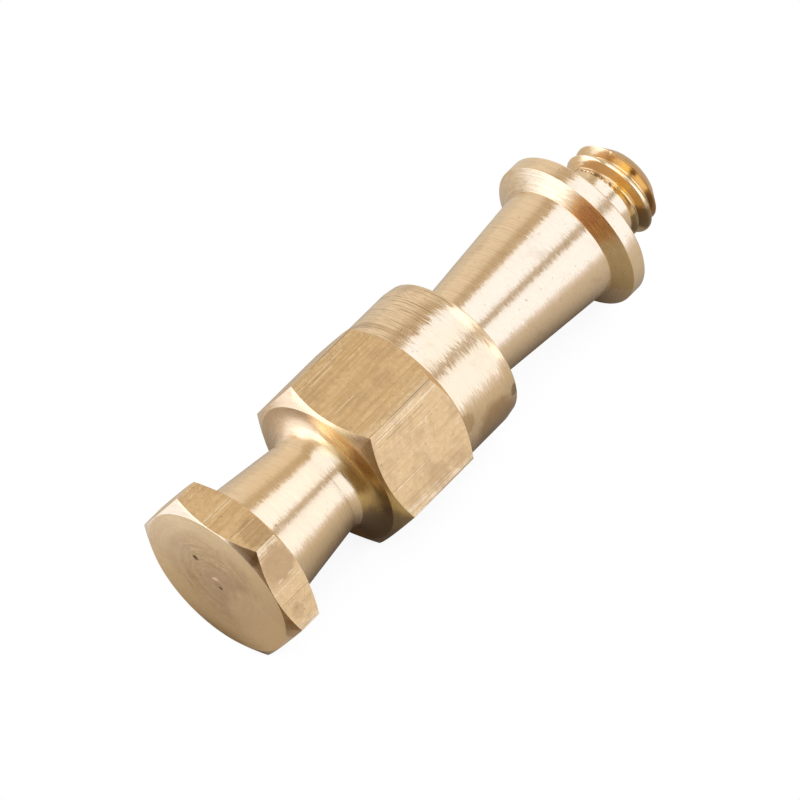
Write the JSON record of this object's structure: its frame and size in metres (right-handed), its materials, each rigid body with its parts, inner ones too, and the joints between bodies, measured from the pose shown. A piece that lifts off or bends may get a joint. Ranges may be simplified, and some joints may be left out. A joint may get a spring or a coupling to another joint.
{
  "type": "hexagon stud adapter",
  "caption": "Brass clamp stud with hexagon head and body, round collar, tapered necks and flange, and a short male screw thread at one end.",
  "frame": {"origin": "centre of the bounding box's footprint, on the surface it lies on", "axes": "+X along the stud's axis towards the thread, +Z square to the upper hexagon flat, lying on the opposite flat"},
  "size_m": [0.0574, 0.0184, 0.016],
  "materials": {
    "brass": "plain turned brass, uncoated, fine turning marks and drawn hexagon flats"
  },
  "bodies": {
    "root": {"stud": "brass"}
  },
  "joints": []
}
